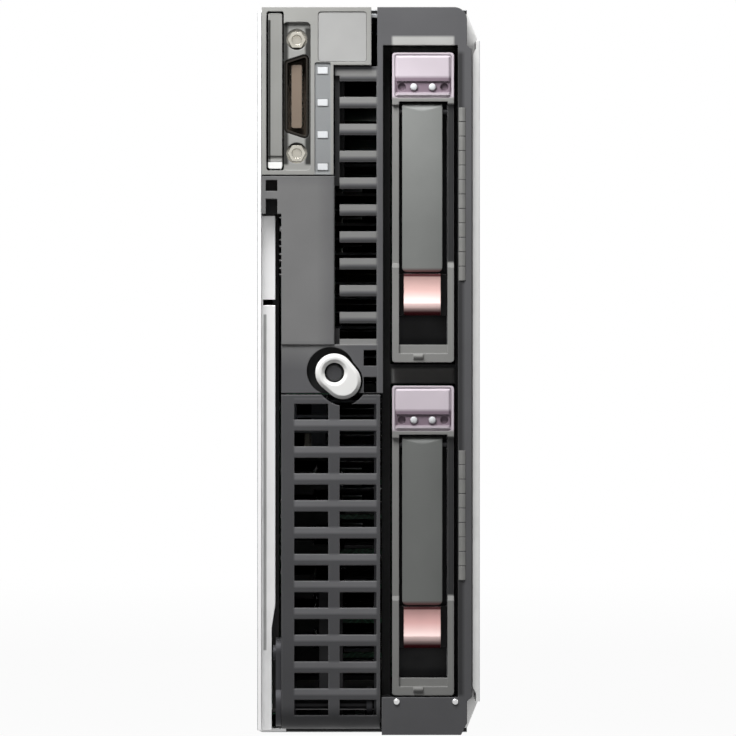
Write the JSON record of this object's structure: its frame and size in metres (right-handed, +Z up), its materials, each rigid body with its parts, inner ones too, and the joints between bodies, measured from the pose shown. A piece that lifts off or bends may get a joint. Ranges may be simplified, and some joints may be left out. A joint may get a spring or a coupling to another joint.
{
  "type": "blade server",
  "caption": "Tall narrow plug-in server with a grille lever, two pull-out drive carriers, a console port and a lift-off steel side panel over its boards.",
  "frame": {"origin": "middle of the footprint, at the bottom of the steel tray", "axes": "+Y from the bezel to the rear connectors, +X to the right seen from the front, +Z up"},
  "size_m": [0.0556, 0.5112, 0.1817],
  "materials": {
    "zinc_steel": "zinc-plated sheet",
    "dark_steel": "phosphated",
    "bright_steel": "bright",
    "bezel_plastic": "fine spark-eroded texture",
    "service_plastic": "fine texture",
    "lever_plastic": "fine texture",
    "pale_plastic": "satin",
    "tab_plastic": "satin",
    "lens": "diffusing",
    "power_lens": "dark translucent",
    "insert_plastic": "glass-filled",
    "black_plastic": "moulded",
    "carrier_metal": "painted die casting",
    "handle_plastic": "fine texture",
    "button_pink": "translucent tint",
    "lamp_block_lilac": "clear over print",
    "board_laminate": "solder mask",
    "aluminium": "extruded",
    "disk_cast": "cast and machined",
    "chip_black": "moulded",
    "nickel": "nickel plate",
    "name_plate": "satin"
  },
  "bodies": {
    "chassis": {"chassis_tray": "zinc_steel", "front_side_cover": "zinc_steel", "rear_panel": "zinc_steel", "drive_cage": "zinc_steel", "front_bezel": "bezel_plastic", "service_panel": "service_plastic", "name_plate": "name_plate", "status_lamps": "lens", "io_connector_shell": "nickel", "io_connector_insert": "insert_plastic", "io_jackscrews": "nickel", "front_board": "board_laminate", "power_switch": "black_plastic", "lever_bracket": "dark_steel", "lever_pivot_pin": "bright_steel", "lever_spring": "bright_steel", "system_board": "board_laminate", "board_standoffs": "bright_steel", "board_screws": "bright_steel", "processor_sockets": "black_plastic", "processors": "nickel", "heatsink_1": "aluminium", "heatsink_2": "aluminium", "heatsink_screws": "bright_steel", "memory_sockets": "black_plastic", "memory_modules": "board_laminate", "chipset_heatsink": "aluminium", "board_chips": "chip_black", "board_capacitors": "chip_black", "coin_cell_holder": "black_plastic", "coin_cell": "nickel", "mezzanine_connectors": "black_plastic", "mezzanine_card_1": "board_laminate", "mezzanine_card_2": "board_laminate", "signal_connector": "black_plastic", "power_connector": "black_plastic", "drive_backplane": "board_laminate", "drive_receptacles": "black_plastic", "memory_baffles": "black_plastic", "chassis_screws": "bright_steel"},
    "lever": {"release_lever": "lever_plastic", "lever_cheeks": "dark_steel", "lever_hook": "dark_steel"},
    "ring_button": {"release_button": "pale_plastic"},
    "power": {"power_button": "power_lens"},
    "tab": {"label_tab": "tab_plastic"},
    "panel": {"access_panel": "zinc_steel"},
    "panel_button": {"panel_release_button": "tab_plastic"},
    "drive_1": {"drive_1_carrier": "carrier_metal", "drive_1_disk": "disk_cast", "drive_1_lever_pin": "bright_steel", "drive_1_lamp_block": "lamp_block_lilac"},
    "drive_1_handle": {"drive_1_lever": "handle_plastic"},
    "drive_1_push": {"drive_1_button": "button_pink"},
    "drive_2": {"drive_2_carrier": "carrier_metal", "drive_2_disk": "disk_cast", "drive_2_lever_pin": "bright_steel", "drive_2_lamp_block": "lamp_block_lilac"},
    "drive_2_handle": {"drive_2_lever": "handle_plastic"},
    "drive_2_push": {"drive_2_button": "button_pink"}
  },
  "joints": [
    {"name": "lever_swing", "type": "hinge", "parent": "chassis", "child": "lever", "pos_m": [0, -0.2484, 0.0075], "axis": [1, 0, 0], "range_deg": [0, 60]},
    {"name": "ring_button_press", "type": "slide", "parent": "chassis", "child": "ring_button", "axis": [0, 1, 0], "range_m": [0, 0.002], "stiffness_N_per_m": 400, "springref_m": -0.001},
    {"name": "power_press", "type": "slide", "parent": "chassis", "child": "power", "axis": [0, 1, 0], "range_m": [0, 0.0012], "stiffness_N_per_m": 500, "springref_m": -0.001},
    {"name": "tab_pull", "type": "slide", "parent": "chassis", "child": "tab", "axis": [0, -1, 0], "range_m": [0, 0.05]},
    {"name": "panel_lift", "type": "slide", "parent": "chassis", "child": "panel", "axis": [1, 0, 0], "range_m": [0, 0.09]},
    {"name": "panel_button_press", "type": "slide", "parent": "chassis", "child": "panel_button", "axis": [-1, 0, 0], "range_m": [0, 0.0025], "stiffness_N_per_m": 400, "springref_m": -0.001},
    {"name": "drive_1_slide", "type": "slide", "parent": "chassis", "child": "drive_1", "axis": [0, -1, 0], "range_m": [0, 0.118]},
    {"name": "drive_1_handle_swing", "type": "hinge", "parent": "drive_1", "child": "drive_1_handle", "pos_m": [0.0134, -0.2511, 0.1555], "axis": [-1, 0, 0], "range_deg": [0, 45]},
    {"name": "drive_1_push_press", "type": "slide", "parent": "drive_1", "child": "drive_1_push", "axis": [0, 1, 0], "range_m": [0, 0.0015], "stiffness_N_per_m": 400, "springref_m": -0.001},
    {"name": "drive_2_slide", "type": "slide", "parent": "chassis", "child": "drive_2", "axis": [0, -1, 0], "range_m": [0, 0.118]},
    {"name": "drive_2_handle_swing", "type": "hinge", "parent": "drive_2", "child": "drive_2_handle", "pos_m": [0.0134, -0.2511, 0.0725], "axis": [-1, 0, 0], "range_deg": [0, 45]},
    {"name": "drive_2_push_press", "type": "slide", "parent": "drive_2", "child": "drive_2_push", "axis": [0, 1, 0], "range_m": [0, 0.0015], "stiffness_N_per_m": 400, "springref_m": -0.001}
  ]
}
